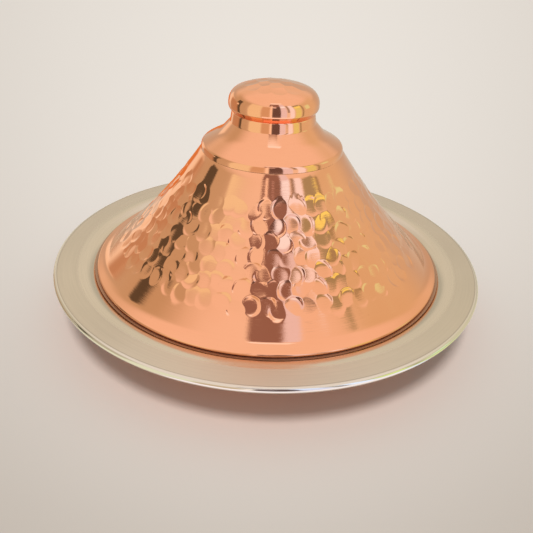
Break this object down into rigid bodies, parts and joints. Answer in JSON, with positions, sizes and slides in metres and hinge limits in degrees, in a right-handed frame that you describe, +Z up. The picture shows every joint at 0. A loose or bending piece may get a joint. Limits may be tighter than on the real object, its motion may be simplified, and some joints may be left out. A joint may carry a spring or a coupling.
{
  "type": "copper tagine",
  "caption": "Wide round copper dish, tinned inside, with a broad brim and a tall hammered conical lid that lifts off by a round knob.",
  "frame": {"origin": "centre of the flat face that the dish stands on", "axes": "+Z up, along the axis that every piece is turned about; X and Y are alike, because the piece is round"},
  "size_m": [0.3, 0.3, 0.1627],
  "materials": {
    "copper": "spun copper sheet, polished, with fine lathe lines",
    "hammered_copper": "polished copper with shallow hammered facets",
    "tin": "wiped tin, satin, finely brushed round the axis",
    "wire": "plain steel wire, hidden",
    "solder": "tin solder, dull, hidden"
  },
  "bodies": {
    "dish": {"dish_body": "copper", "dish_tin_lining": "tin", "rim_wire": "wire"},
    "lid": {"lid_cone": "hammered_copper", "lid_tin_lining": "tin", "lid_cap": "copper", "lid_knob": "copper", "cap_solder_ring": "solder", "knob_solder_ring": "solder"}
  },
  "joints": [
    {"name": "lid_lift", "type": "slide", "parent": "dish", "child": "lid", "axis": [0, 0, 1], "range_m": [0, 0.15]}
  ]
}
